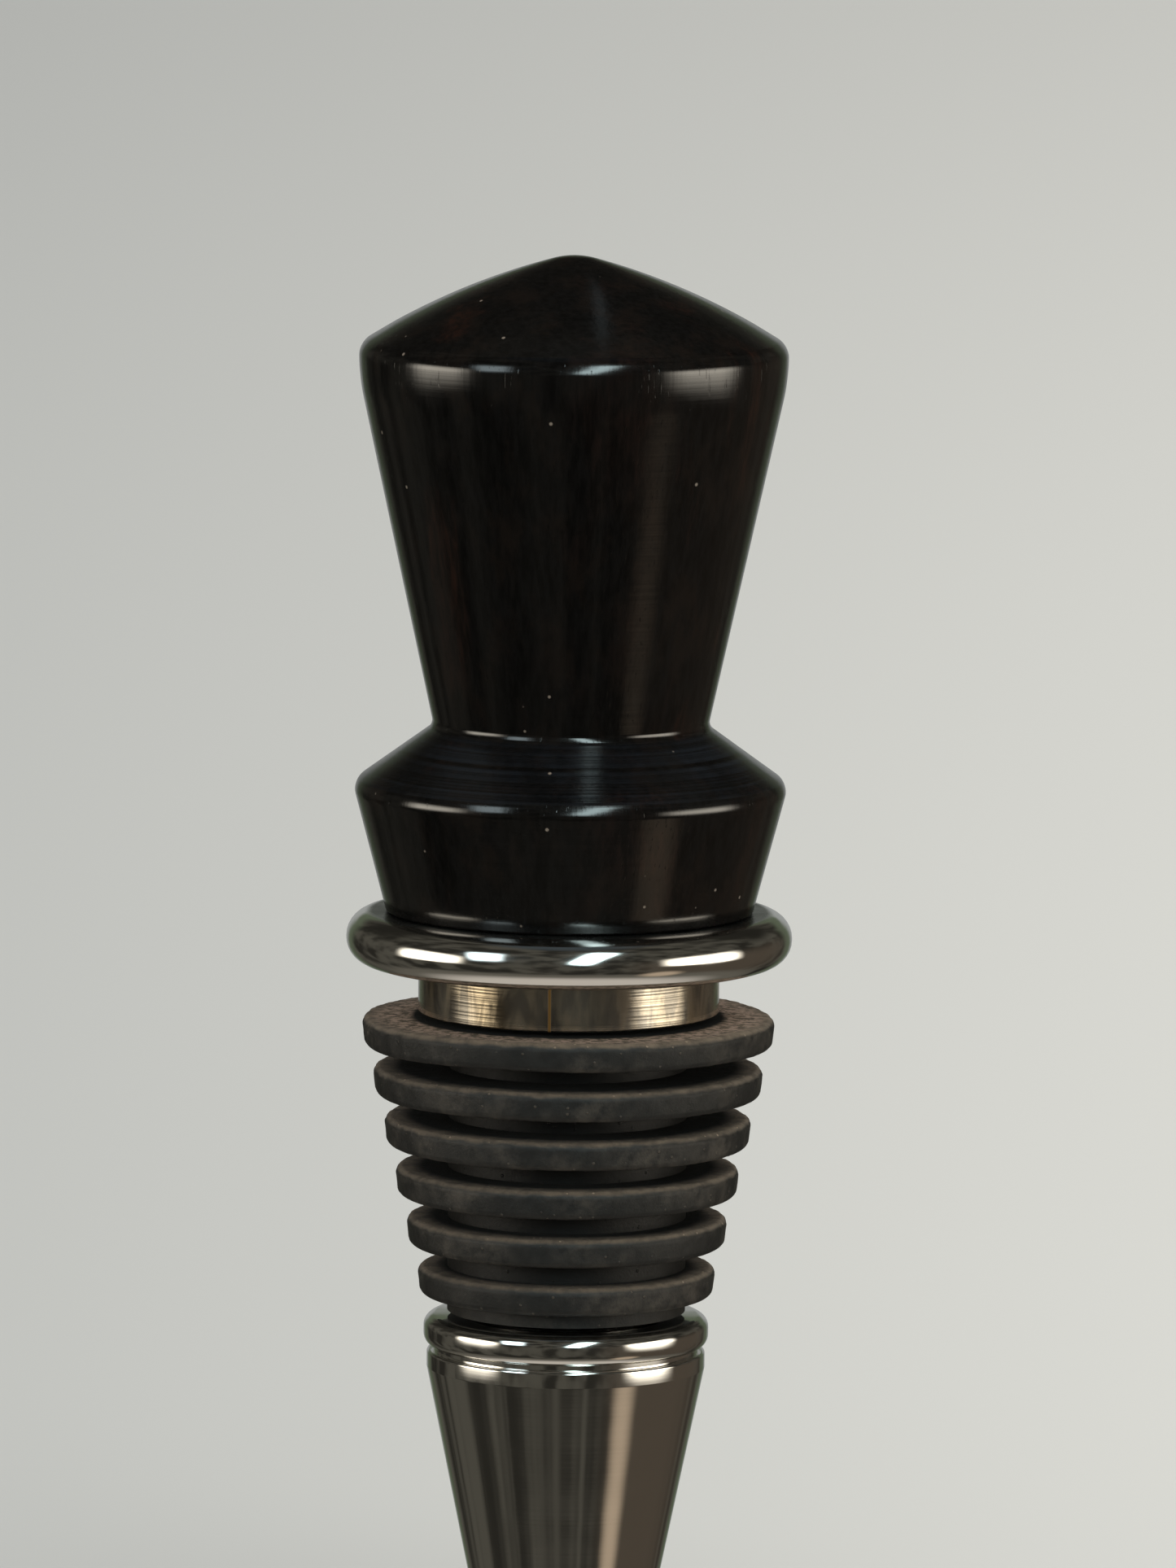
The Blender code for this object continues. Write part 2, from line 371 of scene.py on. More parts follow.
def spin_full_turn(bm, steps):
    """Turn the outline once round the vertical axis and close the seams and the poles.

    One sector is turned in small steps and then repeated, which takes far less time than a full turn.
    """
    sector = 2 * math.pi / SECTORS
    bmesh.ops.spin(bm, geom=bm.verts[:] + bm.edges[:], cent=(0, 0, 0), axis=(0, 0, 1),
                   angle=sector, steps=steps // SECTORS)
    bmesh.ops.spin(bm, geom=bm.verts[:] + bm.edges[:] + bm.faces[:], cent=(0, 0, 0), axis=(0, 0, 1),
                   angle=2 * math.pi - sector, steps=SECTORS - 1, use_duplicate=True)
    bmesh.ops.remove_doubles(bm, verts=bm.verts[:], dist=MERGE_DISTANCE)
    bmesh.ops.recalc_face_normals(bm, faces=bm.faces[:])


def split_long_edges(bm, longest):
    """Divide the edges that are longer than a length, so that bends and nicks have room."""
    for edge in [edge for edge in bm.edges if edge.calc_length() > longest]:
        cuts = math.ceil(edge.calc_length() / longest) - 1
        bmesh.ops.subdivide_edges(bm, edges=[edge], cuts=cuts)


def mesh_of(bm, name, material):
    """A mesh of one material, made of a bmesh that is no longer needed."""
    mesh = bpy.data.meshes.new(name)
    bm.to_mesh(mesh)
    bm.free()
    mesh.materials.append(material)
    return mesh


def add_object(name, data):
    """A new object in the scene."""
    thing = bpy.data.objects.new(name, data)
    bpy.context.scene.collection.objects.link(thing)
    return thing


def finish_piece(bm, name, material, node):
    """Make an object of a bmesh, shade it, and let it stand for its solid."""
    mesh = mesh_of(bm, name, material)
    mesh.shade_smooth()
    mesh.set_sharp_from_angle(angle=SHARP_ANGLE)
    piece = add_object(name, mesh)
    weighted = piece.modifiers.new("Even shading", "WEIGHTED_NORMAL")
    weighted.keep_sharp = True
    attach(piece, "root")
    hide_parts(node)


# Shader nodes

def new_material(name):
    """An empty material with a Principled shader, its node tree and that shader."""
    material = bpy.data.materials.new(name)
    material.use_nodes = True
    tree = material.node_tree
    return material, tree, tree.nodes["Principled BSDF"]


def set_inputs(tree, node, values):
    """Link outputs to a node's inputs, or set the inputs to constants."""
    for name, value in values.items():
        if isinstance(value, bpy.types.NodeSocket):
            tree.links.new(value, node.inputs[name])
        else:
            node.inputs[name].default_value = value


def add_node(tree, kind, values, **settings):
    """Add a shader node, with settings of the node and values or links for its inputs."""
    node = tree.nodes.new("ShaderNode" + kind)
    for name, value in settings.items():
        setattr(node, name, value)
    set_inputs(tree, node, values)
    return node


def math_node(tree, operation, first, second=0.0):
    """One sum on two values."""
    return add_node(tree, "Math", {0: first, 1: second}, operation=operation).outputs[0]


def total(tree, first, *others):
    """The sum of several values."""
    for other in others:
        first = math_node(tree, "ADD", first, other)
    return first


def product(tree, first, *others):
    """The product of several values."""
    for other in others:
        first = math_node(tree, "MULTIPLY", first, other)
    return first


def ramp(tree, value, low, high, to_low=0.0, to_high=1.0, smooth=True):
    """Map a value from one range to another, held at both ends."""
    return add_node(tree, "MapRange", {"Value": value, "From Min": low, "From Max": high,
                                       "To Min": to_low, "To Max": to_high},
                    interpolation_type="SMOOTHSTEP" if smooth else "LINEAR").outputs["Result"]


def blend(tree, factor, first, second, mode="MIX"):
    """Mix two colours."""
    node = add_node(tree, "Mix", {}, data_type="RGBA", blend_type=mode)
    set_inputs(tree, node, {0: factor, 6: first, 7: second})
    return node.outputs[2]


def rgba(values, gain=1.0):
    """A colour with full alpha, made lighter or darker by a gain."""
    return (*(channel * gain for channel in values), 1)


def coordinates(tree, output):
    """The place or the direction that a surface has at each point, by the name of the output."""
    return add_node(tree, "TexCoord", {}).outputs[output]


def split(tree, vector):
    """The three coordinates of a vector."""
    return add_node(tree, "SeparateXYZ", {"Vector": vector}).outputs


def from_axis(tree, place):
    """The distance from the vertical axis."""
    across, away, _ = split(tree, place)
    flat = add_node(tree, "CombineXYZ", {"X": across, "Y": away}).outputs[0]
    return add_node(tree, "VectorMath", {0: flat}, operation="LENGTH").outputs["Value"]


def noise_value(tree, place, scale, detail=3.0, roughness=0.6, distortion=0.0):
    """A noise texture's value, with one scale or with one for each axis."""
    if isinstance(scale, tuple):
        place = add_node(tree, "Mapping", {"Vector": place, "Scale": scale}).outputs[0]
        scale = 1.0
    return add_node(tree, "TexNoise", {"Vector": place, "Scale": scale, "Detail": detail,
                                       "Roughness": roughness, "Distortion": distortion}).outputs["Fac"]


def ring_noise(tree, place, radial_scale, height_scale, detail=3.0, roughness=0.6):
    """Noise that runs round the axis, because it only sees the distance from it and the height."""
    outward = product(tree, from_axis(tree, place), radial_scale)
    upward = product(tree, split(tree, place)[2], height_scale)
    rings = add_node(tree, "CombineXYZ", {"X": outward, "Y": upward}).outputs[0]
    return noise_value(tree, rings, 1.0, detail, roughness)


def specks(tree, place, scale, size, share):
    """Small round specks in a few of the cells of a grid."""
    cells = add_node(tree, "TexVoronoi", {"Vector": place, "Scale": scale})
    channels = add_node(tree, "SeparateColor", {"Color": cells.outputs["Color"]})
    near = ramp(tree, cells.outputs["Distance"], size, size * 0.5)
    return product(tree, near, math_node(tree, "LESS_THAN", channels.outputs[0], share))


def smudged_polish(tree, place, waves, roughness):
    """Roughness between a low and a high value, in soft smudges."""
    return ramp(tree, noise_value(tree, place, waves, 4.0), 0.3, 0.75, *roughness)


def bump(tree, height, distance, **below):
    """Bump with the given height in metres, over the bump below it if there is one."""
    values = {"Height": height, "Distance": distance, "Strength": 1.0, **below}
    return add_node(tree, "Bump", values).outputs[0]


# Finishes of the pieces

def wood_colour(tree, place, fibres, finishes):
    """Near-black wood with brown clouds, and red-brown grain streaks painted stronger towards the sides as
    side light shows them.
    """
    from_middle = math_node(tree, "ABSOLUTE", split(tree, place)[0])
    # Painted light: the grain's streaks are drawn stronger towards the left and right sides
    side_light_gain = ramp(tree, from_middle, *SIDE_LIGHT_STREAK_GROWTH, 0.35, 1.3)
    bands = ramp(tree, noise_value(tree, place, STREAK_WAVES, 4.0, 0.6, 0.4), 0.54, 0.72)
    streaks = product(tree, product(tree, bands, side_light_gain), total(tree, 0.35, ramp(tree, fibres, 0.40, 0.72)))
    clouds = ramp(tree, noise_value(tree, place, CLOUD_WAVES, 5.0, 0.65), 0.46, 0.68, 0.0, 0.75)
    plain = blend(tree, ramp(tree, fibres, 0.3, 0.7), rgba(finishes.wood, 0.6), rgba(finishes.wood, 1.5))
    clouded = blend(tree, clouds, plain, rgba(finishes.brown))
    return blend(tree, streaks, clouded, rgba(finishes.streak))


def wood_material(finishes, base, knob_edge, waist):
    """Polished near-black wood with pores, a little dust, and turning lines on the knob's shoulder, along
    which a bluish sheen is painted.
    """
    material, tree, shader = new_material("Polished dark wood")
    place = coordinates(tree, "Object")
    height = split(tree, place)[2]
    fibres = noise_value(tree, place, FIBRE_WAVES, 3.0, 0.6)
    pores = ramp(tree, noise_value(tree, place, PORE_WAVES, 2.0, 0.5), 0.66, 0.76)
    rings = ring_noise(tree, place, *TURNING_WAVES)
    above_edge = ramp(tree, height, knob_edge - PAINTED_SHEEN_OVERLAP, knob_edge + PAINTED_SHEEN_FADE)
    below_waist = ramp(tree, height, waist, waist - PAINTED_SHEEN_FADE)
    shoulder = product(tree, above_edge, below_waist)
    # Painted sheen: bluish reflected light, laid into the colour in clouds along the turning rings
    painted_sheen_clouds = ramp(tree, noise_value(tree, place, PAINTED_SHEEN_WAVES), 0.35, 0.6, 0.25, 1.0)
    painted_sheen_rings = product(tree, shoulder, painted_sheen_clouds, ramp(tree, rings, 0.38, 0.66))
    grain = wood_colour(tree, place, fibres, finishes)
    pored = blend(tree, product(tree, pores, 0.6), grain, rgba(finishes.wood, 0.3))
    with_painted_sheen = blend(tree, painted_sheen_rings, pored, rgba(finishes.painted_sheen))
    dusty = blend(tree, specks(tree, place, *DUST_SPECKS), with_painted_sheen, rgba(finishes.specks))
    polish = smudged_polish(tree, place, WOOD_SMUDGE_WAVES, WOOD_POLISH)
    dull_base = ramp(tree, height, *(base + rise for rise in DULL_BASE), 0.0, 0.12)
    turned = bump(tree, product(tree, rings, total(tree, 0.2, shoulder)), TURNING_DEPTH)
    grained = bump(tree, math_node(tree, "SUBTRACT", fibres, pores), GRAIN_DEPTH, Normal=turned)
    set_inputs(tree, shader, {
        "Base Color": dusty,
        "Roughness": total(tree, dull_base, product(tree, shoulder, 0.05), polish),
        "Normal": grained,
        "IOR": 1.5,
        "Coat Weight": 0.15,
        "Coat Roughness": 0.06,
    })
    return material


def tarnished_neck(tree, place, film, painted_golden_reflection, finishes):
    """Plating with a stained brown film and a painted golden reflection line, where each of the two lies."""
    stains = noise_value(tree, place, STAIN_WAVES, 3.0, 0.5, 0.6)
    stained = ramp(tree, stains, 0.42, 0.60)
    brown = blend(tree, stained, rgba(finishes.tarnish, 1.3), rgba(finishes.tarnish, 0.45))
    filmed = blend(tree, film, rgba(finishes.chrome), brown)
    return blend(tree, painted_golden_reflection, filmed, rgba(finishes.painted_golden_reflection))


def chrome_material(finishes, neck_bottom, neck_top, flange_top, joint_shade_radius):
    """Mirror-bright plating, with a brushed brown neck, a painted golden reflection on its front, and
    painted shade along the head's joint.
    """
    material, tree, shader = new_material("Chrome plating")
    place = coordinates(tree, "Object")
    across, away, height = split(tree, place)
    above = math_node(tree, "GREATER_THAN", height, neck_bottom)
    neck = product(tree, above, math_node(tree, "LESS_THAN", height, neck_top))
    # Painted shade: the flange's top by the head's base is darkened, and also made rougher
    on_top = math_node(tree, "GREATER_THAN", height, flange_top - JOINT_SHADE_DEPTH)
    by_head = ramp(tree, from_axis(tree, place), joint_shade_radius, joint_shade_radius - JOINT_SHADE_FADE)
    joint_shade = product(tree, on_top, by_head)
    mottle = noise_value(tree, place, MOTTLE_WAVES, 2.0, 0.5)
    film = product(tree, neck, ramp(tree, mottle, 0.35, 0.65, 0.7, 1.0))
    # Painted reflection: a golden line down the front of the neck, where the plating is less metallic
    from_line = math_node(tree, "ABSOLUTE", math_node(tree, "SUBTRACT", across, PAINTED_REFLECTION_ACROSS))
    line = ramp(tree, from_line, PAINTED_REFLECTION_WIDTH, PAINTED_REFLECTION_WIDTH * 0.4)
    painted_golden_reflection = product(tree, line, math_node(tree, "LESS_THAN", away, 0.0), neck)
    neck_colour = tarnished_neck(tree, place, film, painted_golden_reflection, finishes)
    joint_shade_gain = ramp(tree, joint_shade, 0.0, 1.0, 1.0, 0.25, smooth=False)
    polish = smudged_polish(tree, place, PLATING_SMUDGE_WAVES, PLATING_POLISH)
    brushing = ring_noise(tree, place, *BRUSHING_WAVES, 2.0, 0.5)
    brushed = bump(tree, product(tree, brushing, total(tree, 0.1, neck)), BRUSHING_DEPTH)
    waves = noise_value(tree, place, PLATING_WAVES, 2.0, 0.5)
    plated = ramp(tree, film, 0.0, 1.0, 1.0, 0.9, smooth=False)
    set_inputs(tree, shader, {
        "Base Color": blend(tree, 1.0, neck_colour, joint_shade_gain, "MULTIPLY"),
        "Roughness": total(tree, product(tree, neck, 0.07), product(tree, joint_shade, 0.2), polish),
        "Normal": bump(tree, waves, PLATING_WAVE_DEPTH, Normal=brushed),
        "Metallic": math_node(tree, "SUBTRACT", plated, product(tree, painted_golden_reflection, 0.7)),
    })
    return material


def rubber_shade(tree, radius, below_top, sizes):
    """Where little light reaches: deep between the ribs, and on the seal's top close to the neck."""
    narrowing = product(tree, below_top, sizes.rib_step / 2 / sizes.rib_pitch)
    inside_edge = math_node(tree, "SUBTRACT", sizes.rib_diameter / 2, total(tree, radius, narrowing))
    under_top_rib = math_node(tree, "GREATER_THAN", below_top, sizes.rib_thickness * 0.8)
    between = product(tree, ramp(tree, inside_edge, *RIB_SHADE_INSIDE), under_top_rib)
    by_neck = product(tree, ramp(tree, radius, *NECK_SHADE_RADII), ramp(tree, below_top, *NECK_SHADE_BELOW))
    return math_node(tree, "MAXIMUM", between, by_neck)


def rubber_material(finishes, sizes):
    """Matt black rubber with painted shade between the ribs and by the neck, brown dust where it faces up
    and pale crumbs.
    """
    material, tree, shader = new_material("Dusty rubber")
    place = coordinates(tree, "Object")
    radius = from_axis(tree, place)
    below_top = math_node(tree, "SUBTRACT", seal_high.z, split(tree, place)[2])
    lying = ramp(tree, split(tree, coordinates(tree, "Normal"))[2], 0.25, 0.95)
    cloud = noise_value(tree, place, RUBBER_CLOUD_WAVES, 5.0, 0.7)
    patches = ramp(tree, noise_value(tree, place, RUBBER_PATCH_WAVES, 3.0, 0.55), 0.40, 0.65, 0.0, 0.20)
    thick = product(tree, lying, ramp(tree, cloud, 0.33, 0.62, 0.5, 1.0))
    clouded = ramp(tree, cloud, 0.3, 0.7)
    dusty = math_node(tree, "MAXIMUM", thick, product(tree, patches, clouded))
    clean = blend(tree, clouded, rgba(finishes.rubber, 0.75), rgba(finishes.rubber, 1.3))
    coloured = blend(tree, dusty, clean, rgba(finishes.dust))
    crumbs = specks(tree, place, *CRUMB_SPECKS)
    crumbs_lying = product(tree, crumbs, total(tree, 0.12, lying))
    crumbed = blend(tree, crumbs_lying, coloured, rgba(finishes.dust, 1.9))
    by_neck = product(tree, ramp(tree, radius, *CRUST_RADII), ramp(tree, below_top, *CRUST_BELOW))
    crust = product(tree, by_neck, ramp(tree, noise_value(tree, place, CRUST_WAVES), 0.43, 0.57))
    crusted = blend(tree, crust, crumbed, rgba(finishes.crumbs))
    shade = rubber_shade(tree, radius, below_top, sizes)
    grain = bump(tree, noise_value(tree, place, RUBBER_GRAIN_WAVES, 4.0, 0.7), RUBBER_GRAIN_DEPTH)
    set_inputs(tree, shader, {
        "Base Color": blend(tree, shade, crusted, rgba(finishes.rubber, 0.12)),
        "Roughness": ramp(tree, dusty, 0.0, 0.8, 0.58, 0.95),
        "Normal": bump(tree, total(tree, cloud, crumbs), RUBBER_LUMP_DEPTH, Normal=grain),
        "Specular IOR Level": 0.35,
    })
    return material


def steel_material(finishes):
    """Plain steel with fine lines round the thread."""
    material, tree, shader = new_material("Stud steel")
    place = coordinates(tree, "Object")
    stains = noise_value(tree, place, STEEL_STAIN_WAVES, 4.0)
    stained = ramp(tree, stains, 0.4, 0.75, 0.0, 0.5)
    set_inputs(tree, shader, {
        "Base Color": blend(tree, stained, rgba(finishes.steel), rgba(finishes.steel, 0.55)),
        "Roughness": ramp(tree, stains, 0.3, 0.7, 0.28, 0.42),
        "Normal": bump(tree, ring_noise(tree, place, *THREAD_LINE_WAVES), THREAD_LINE_DEPTH),
        "Metallic": 1.0,
    })
    return material


# Pieces

class CapArcs:
    """The two arcs of the pointed cap: its slightly bowed slope and its round tip, which meet smoothly."""

    def __init__(self, sizes, rim_radius, rim_top):
        lean = math.atan2(sizes.cap_rise, rim_radius)
        slope_at_point = lean - sizes.cap_bow
        self.slope_at_rim = lean + sizes.cap_bow
        self.bow_radius = math.hypot(sizes.cap_rise, rim_radius) / (2 * math.sin(sizes.cap_bow))
        self.bow_centre = (-self.bow_radius * math.sin(slope_at_point),
                           rim_top + sizes.cap_rise - self.bow_radius * math.cos(slope_at_point))
        reach = self.bow_radius - sizes.tip_radius
        self.slope_at_tip = math.asin(-self.bow_centre[0] / reach)
        self.tip_centre = (0, self.bow_centre[1] + reach * math.cos(self.slope_at_tip))

    def point(self, slope):
        """The radius and height where the cap has a slope."""
        return (self.bow_centre[0] + self.bow_radius * math.sin(slope),
                self.bow_centre[1] + self.bow_radius * math.cos(slope))

    def draw(self, bm, start):
        """Carry the outline on from the rim, up the slope and over the tip to the axis."""
        slope_at_start = math.atan2(start.co.x - self.bow_centre[0], start.co.z - self.bow_centre[1])
        tip_edge = arc(bm, start, self.bow_centre, self.slope_at_tip - slope_at_start, BOW_SEGMENTS)
        arc(bm, tip_edge, self.tip_centre, -self.slope_at_tip, ROUND_SEGMENTS)


class STOPPER_OT_turn_head(bpy.types.Operator):
    """Turn the wooden head: pointed cap, long side, waist and knob, with its hole for the stud"""
    bl_idname = "stopper.turn_head"
    bl_label = "Turn the wooden head"

    def execute(self, context):
        sizes = context.scene.stopper_head
        flange_radius = base_high.x
        rim_radius = flange_radius - sizes.rim_setback
        head_base = head_low.z - sizes.base_settling
        knob_edge = head_low.z + sizes.knob_height
        waist = knob_edge + sizes.shoulder_height
        rim_bottom = waist + sizes.side_height
        rim_top = rim_bottom + sizes.rim_height
        hole_radius = stud_high.x + SEAT_GAP
        hole_ceiling = stud_high.z + STUD_END_CLEARANCE
        bm = bmesh.new()
        cap = CapArcs(sizes, rim_radius, rim_top)
        verts = draw_outline(bm, [
            corner(*cap.point(cap.slope_at_rim - 2 * sizes.rim_rounding / cap.bow_radius)),
            corner(rim_radius, rim_top, sizes.rim_rounding),
            corner(rim_radius, rim_bottom, sizes.side_rounding),
            corner(sizes.waist_diameter / 2, waist, sizes.waist_rounding),
            corner(flange_radius - sizes.knob_setback, knob_edge, sizes.knob_rounding),
            corner(flange_radius - sizes.base_setback, head_base, sizes.base_rounding),
            corner(hole_radius, head_base),
            corner(hole_radius, hole_ceiling),
            corner(0, hole_ceiling),
        ])
        cap.draw(bm, verts[0])
        spin_full_turn(bm, TURN_STEPS)
        material = wood_material(context.scene.stopper_finishes, head_base, knob_edge, waist)
        finish_piece(bm, "turned_head", material, "wood_head")
        return {"FINISHED"}


class STOPPER_OT_turn_base(bpy.types.Operator):
    """Turn the metal base: foot, taper, bead, stem, neck and flange, with its hole for the stud"""
    bl_idname = "stopper.turn_base"
    bl_label = "Turn the metal base"

    def execute(self, context):
        sizes = context.scene.stopper_base
        taper_radius = sizes.taper_diameter / 2
        groove_radius = taper_radius - sizes.groove_depth
        stem_radius = sizes.stem_diameter / 2
        neck_radius = sizes.neck_diameter / 2
        land_top = sizes.taper_height + sizes.land_height
        bead_bottom = land_top + sizes.groove_height
        bead_top = bead_bottom + sizes.bead_height
        neck_bottom = seal_high.z + SEAT_GAP
        flange_bottom = base_high.z - sizes.flange_thickness
        neck_top = flange_bottom - sizes.neck_fillet
        hole_radius = stud_high.x + SEAT_GAP
        hole_floor = stud_low.z - STUD_END_CLEARANCE
        lower_rounding = sizes.flange_thickness - sizes.flange_rounding - sizes.flange_land
        joint_shade_radius = base_high.x - sizes.joint_shade_setback
        bm = bmesh.new()
        draw_outline(bm, [
            corner(0, hole_floor),
            corner(hole_radius, hole_floor),
            corner(hole_radius, base_high.z),
            corner(base_high.x, base_high.z, sizes.flange_rounding),
            corner(base_high.x, flange_bottom, lower_rounding),
            corner(neck_radius, flange_bottom, sizes.neck_fillet),
            corner(neck_radius, neck_bottom, sizes.neck_rounding),
            corner(stem_radius, neck_bottom, sizes.stem_fillet),
            corner(stem_radius, bead_top, sizes.stem_fillet),
            corner(sizes.bead_diameter / 2, bead_top, sizes.bead_rounding),
            corner(sizes.bead_diameter / 2, bead_bottom, sizes.bead_rounding),
            corner(groove_radius, bead_bottom),
            corner(groove_radius, land_top),
            corner(taper_radius, land_top, sizes.taper_rounding),
            corner(taper_radius, sizes.taper_height, sizes.taper_rounding),
            corner(sizes.foot_diameter / 2, base_low.z, sizes.foot_rounding),
            corner(0, base_low.z),
        ])
        spin_full_turn(bm, TURN_STEPS)
        material = chrome_material(context.scene.stopper_finishes, neck_bottom, neck_top,
                                   base_high.z, joint_shade_radius)
        finish_piece(bm, "plated_base", material, "chrome_base")
        return {"FINISHED"}


def weather_rubber(bm, sizes, sleeve_radius):
    """Bend the ribs a little up and down and break their edges with small nicks."""
    for vert in bm.verts:
        radius = math.hypot(vert.co.x, vert.co.y)
        reach = max(0.0, (radius - sleeve_radius) / (seal_high.x - sleeve_radius))
        if reach == 0:
            continue
        across, away, up = vert.co
        bend_place = Vector((across * BEND_FREQUENCY, away * BEND_FREQUENCY, up * BEND_FREQUENCY_UP))
        bend = noise.noise(bend_place) * sizes.warp * reach ** 2
        nick = noise.fractal(vert.co * NICK_FREQUENCY, *NICK_LAYERS) * sizes.roughness
        nick *= min(1.0, reach * 1.5)
        outward = Vector((across, away, 0)).normalized()
        vert.co += Vector((0, 0, bend)) + outward * nick * NICK_OUTWARD + Vector((0, 0, nick * NICK_UPWARD))


class STOPPER_OT_mould_seal(bpy.types.Operator):
    """Mould the rubber seal: a sleeve with flat ribs that get smaller downwards"""
    bl_idname = "stopper.mould_seal"
    bl_label = "Mould the rubber seal"

    def execute(self, context):
        sizes = context.scene.stopper_seal
        bore_radius = context.scene.stopper_base.stem_diameter / 2 + SEAT_GAP
        sleeve_radius = bore_radius + sizes.sleeve_wall
        corners = []
        for rib in range(sizes.rib_count):
            top = seal_high.z - rib * sizes.rib_pitch
            bottom = top - sizes.rib_thickness
            radius = (sizes.rib_diameter - rib * sizes.rib_step) / 2
            corners += [
                corner(bore_radius if rib == 0 else sleeve_radius, top),
                corner(radius, top, sizes.rib_rounding),
                corner(radius - sizes.rib_lean, bottom, sizes.rib_rounding),
                corner(sleeve_radius, bottom),
            ]
        corners += [corner(sleeve_radius, seal_low.z), corner(bore_radius, seal_low.z)]
        bm = bmesh.new()
        draw_outline(bm, corners, closed=True)
        split_long_edges(bm, LONGEST_SEAL_EDGE)
        spin_full_turn(bm, SEAL_TURN_STEPS)
        weather_rubber(bm, sizes, sleeve_radius)
        material = rubber_material(context.scene.stopper_finishes, sizes)
        finish_piece(bm, "ribbed_seal", material, "rubber_seal")
        return {"FINISHED"}


def cut_thread_end(bm, height, up):
    """Cut the thread off level at a height and close the cut."""
    bmesh.ops.bisect_plane(bm, geom=bm.verts[:] + bm.edges[:] + bm.faces[:], dist=MERGE_DISTANCE,
                           plane_co=(0, 0, height), plane_no=(0, 0, up), clear_outer=True)
    ring = [edge for edge in bm.edges if edge.is_boundary
            and all(abs(vert.co.z - height) < MERGE_DISTANCE for vert in edge.verts)]
    bmesh.ops.holes_fill(bm, edges=ring, sides=0)


class STOPPER_OT_cut_stud(bpy.types.Operator):
    """Cut the threaded stud that holds the head to the base"""
    bl_idname = "stopper.cut_stud"
    bl_label = "Cut the threaded stud"

    def execute(self, context):
        sizes = context.scene.stopper_stud
        outer = stud_high.x
        inner = outer - sizes.thread_depth
        pitch = sizes.thread_pitch
        turns = math.ceil((stud_high.z - stud_low.z) / pitch) + 2
        bottom = stud_low.z - pitch
        bm = bmesh.new()
        draw_outline(bm, [
            corner(inner, bottom),
            corner(outer, bottom + pitch * THREAD_CREST[0]),
            corner(outer, bottom + pitch * THREAD_CREST[1]),
            corner(inner, bottom + pitch),
        ])
        bmesh.ops.spin(bm, geom=bm.verts[:] + bm.edges[:], cent=(0, 0, 0), axis=(0, 0, 1),
                       dvec=(0, 0, pitch / THREAD_STEPS), angle=2 * math.pi * turns,
                       steps=THREAD_STEPS * turns)
        bmesh.ops.remove_doubles(bm, verts=bm.verts[:], dist=MERGE_DISTANCE)
        cut_thread_end(bm, stud_low.z, -1)
        cut_thread_end(bm, stud_high.z, 1)
        for vert in bm.verts:
            to_end = min(vert.co.z - stud_low.z, stud_high.z - vert.co.z)
            widest = outer - max(0.0, sizes.chamfer - to_end)
            radius = math.hypot(vert.co.x, vert.co.y)
            if radius > widest:
                vert.co.x *= widest / radius
                vert.co.y *= widest / radius
        bmesh.ops.recalc_face_normals(bm, faces=bm.faces[:])
        material = steel_material(context.scene.stopper_finishes)
        finish_piece(bm, "stud_thread", material, "threaded_stud")
        return {"FINISHED"}


# Stage

def glow_material(name, tint, strength, edges):
    """Light with soft edges, on a card whose own coordinates run from -1 to 1."""
    material, tree, _ = new_material(name)
    tree.nodes.clear()
    fades = [ramp(tree, math_node(tree, "ABSOLUTE", side), 1.0, 1.0 - edge)
             for side, edge in zip(split(tree, coordinates(tree, "Object")), edges)]
    power = product(tree, *fades, strength)
    glow = add_node(tree, "Emission", {"Color": rgba(tint), "Strength": power}).outputs[0]
    clear = add_node(tree, "BsdfTransparent", {}).outputs[0]
    both = add_node(tree, "AddShader", {0: glow, 1: clear}).outputs[0]
    add_node(tree, "OutputMaterial", {"Surface": both})
    return material


def light_card(name, azimuth, elevation, width, height, tint, strength, edges, lean):
    """A card of light round the piece, placed and sized by angles in degrees as the flange sees them.

    The azimuth runs from the camera's side to the right, the elevation up from the horizon. Only
    reflections see the card.
    """
    turn = math.radians(azimuth)
    rise = math.radians(elevation)
    outward = Vector((math.sin(turn) * math.cos(rise), -math.cos(turn) * math.cos(rise), math.sin(rise)))
    bm = bmesh.new()
    bmesh.ops.create_grid(bm, x_segments=1, y_segments=1, size=1)
    card = add_object(name, mesh_of(bm, name, glow_material(name, tint, strength, edges)))
    card.location = Vector((0, 0, CARD_CENTRE_HEIGHT)) + outward * CARD_DISTANCE
    card.rotation_mode = "QUATERNION"
    facing = outward.to_track_quat("Z", "Y")
    card.rotation_quaternion = facing @ Quaternion((0, 0, 1), math.radians(lean))
    half_width, half_height = (CARD_DISTANCE * math.tan(math.radians(size) / 2) for size in (width, height))
    card.scale = (half_width, half_height, 1)
    for rays in ("camera", "diffuse", "transmission", "volume_scatter", "shadow"):
        setattr(card, "visible_" + rays, False)


def soft_lamp(name, place, target, side, power, tint):
    """A large soft square lamp that lights the piece without showing in its polish."""
    data = bpy.data.lights.new(name, "AREA")
    data.shape = "RECTANGLE"
    data.size = side
    data.size_y = side
    data.energy = power
    data.color = tint
    lamp = add_object(name, data)
    lamp.location = place
    lamp.rotation_euler = (Vector(target) - Vector(place)).to_track_quat("-Z", "Y").to_euler()
    lamp.visible_camera = False
    lamp.visible_glossy = False


